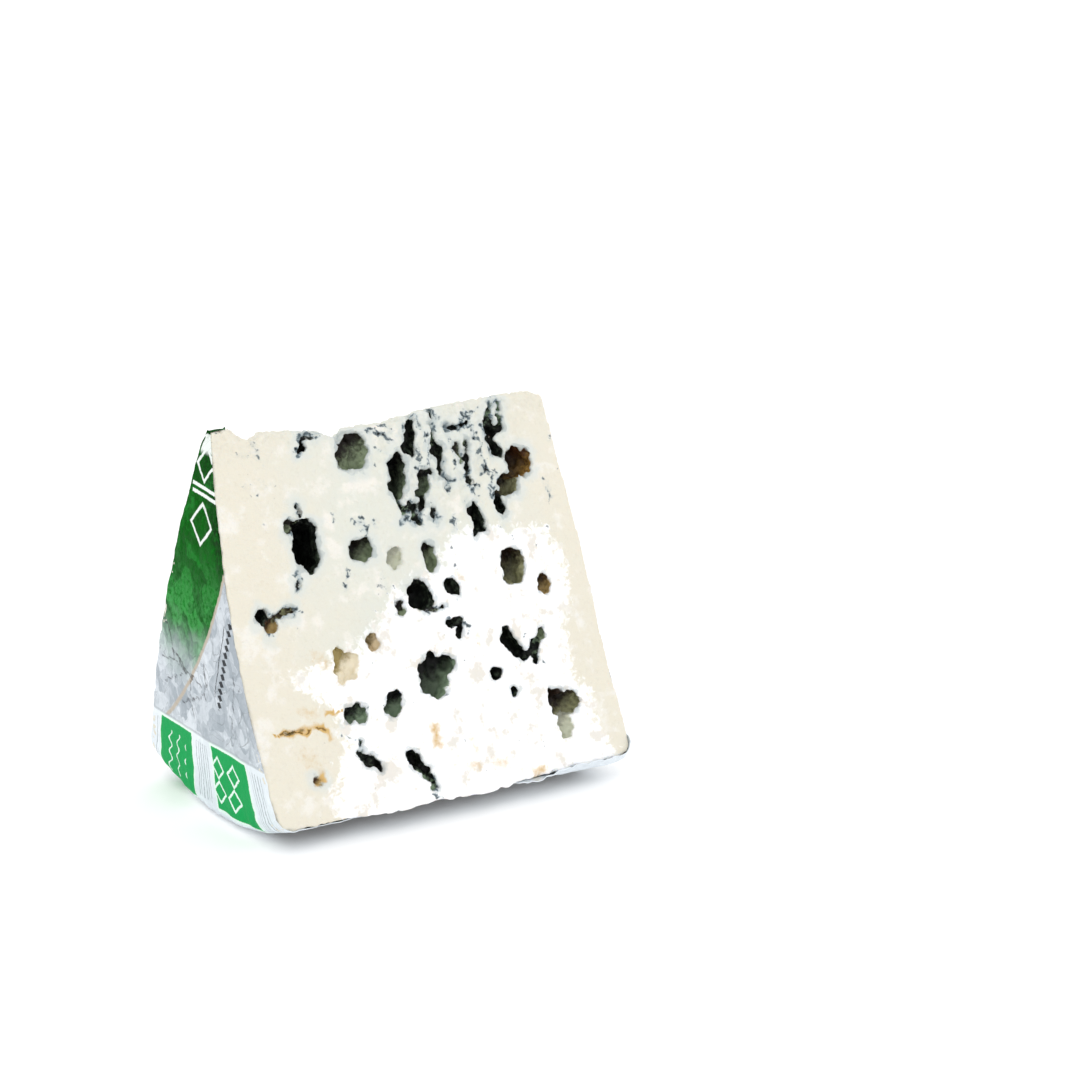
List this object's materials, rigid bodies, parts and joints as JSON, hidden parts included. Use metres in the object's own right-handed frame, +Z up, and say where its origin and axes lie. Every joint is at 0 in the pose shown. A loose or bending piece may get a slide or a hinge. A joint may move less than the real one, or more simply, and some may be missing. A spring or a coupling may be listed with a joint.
{
  "type": "blue cheese wedge",
  "caption": "Wedge of blue-veined cheese cut from a foil-wrapped wheel, standing on its rim with the tip up; food display and table prop.",
  "frame": {"origin": "middle of the footprint, on the floor that the wedge stands on", "axes": "+Z up from the rim to the tip, X along the wheel's axis and the tip line, -Y the cut face that looks at the camera"},
  "size_m": [0.1076, 0.0762, 0.0994],
  "materials": {
    "cheese_paste": "ivory crumbly paste with grey-green mould in the hollows and blue-grey veins, soft and slightly moist",
    "wrapper_foil": "creased silver foil with a dark green field that fades out, a tan line and a band of green panels"
  },
  "bodies": {
    "root": {"cheese": "cheese_paste", "foil": "wrapper_foil"}
  },
  "joints": []
}
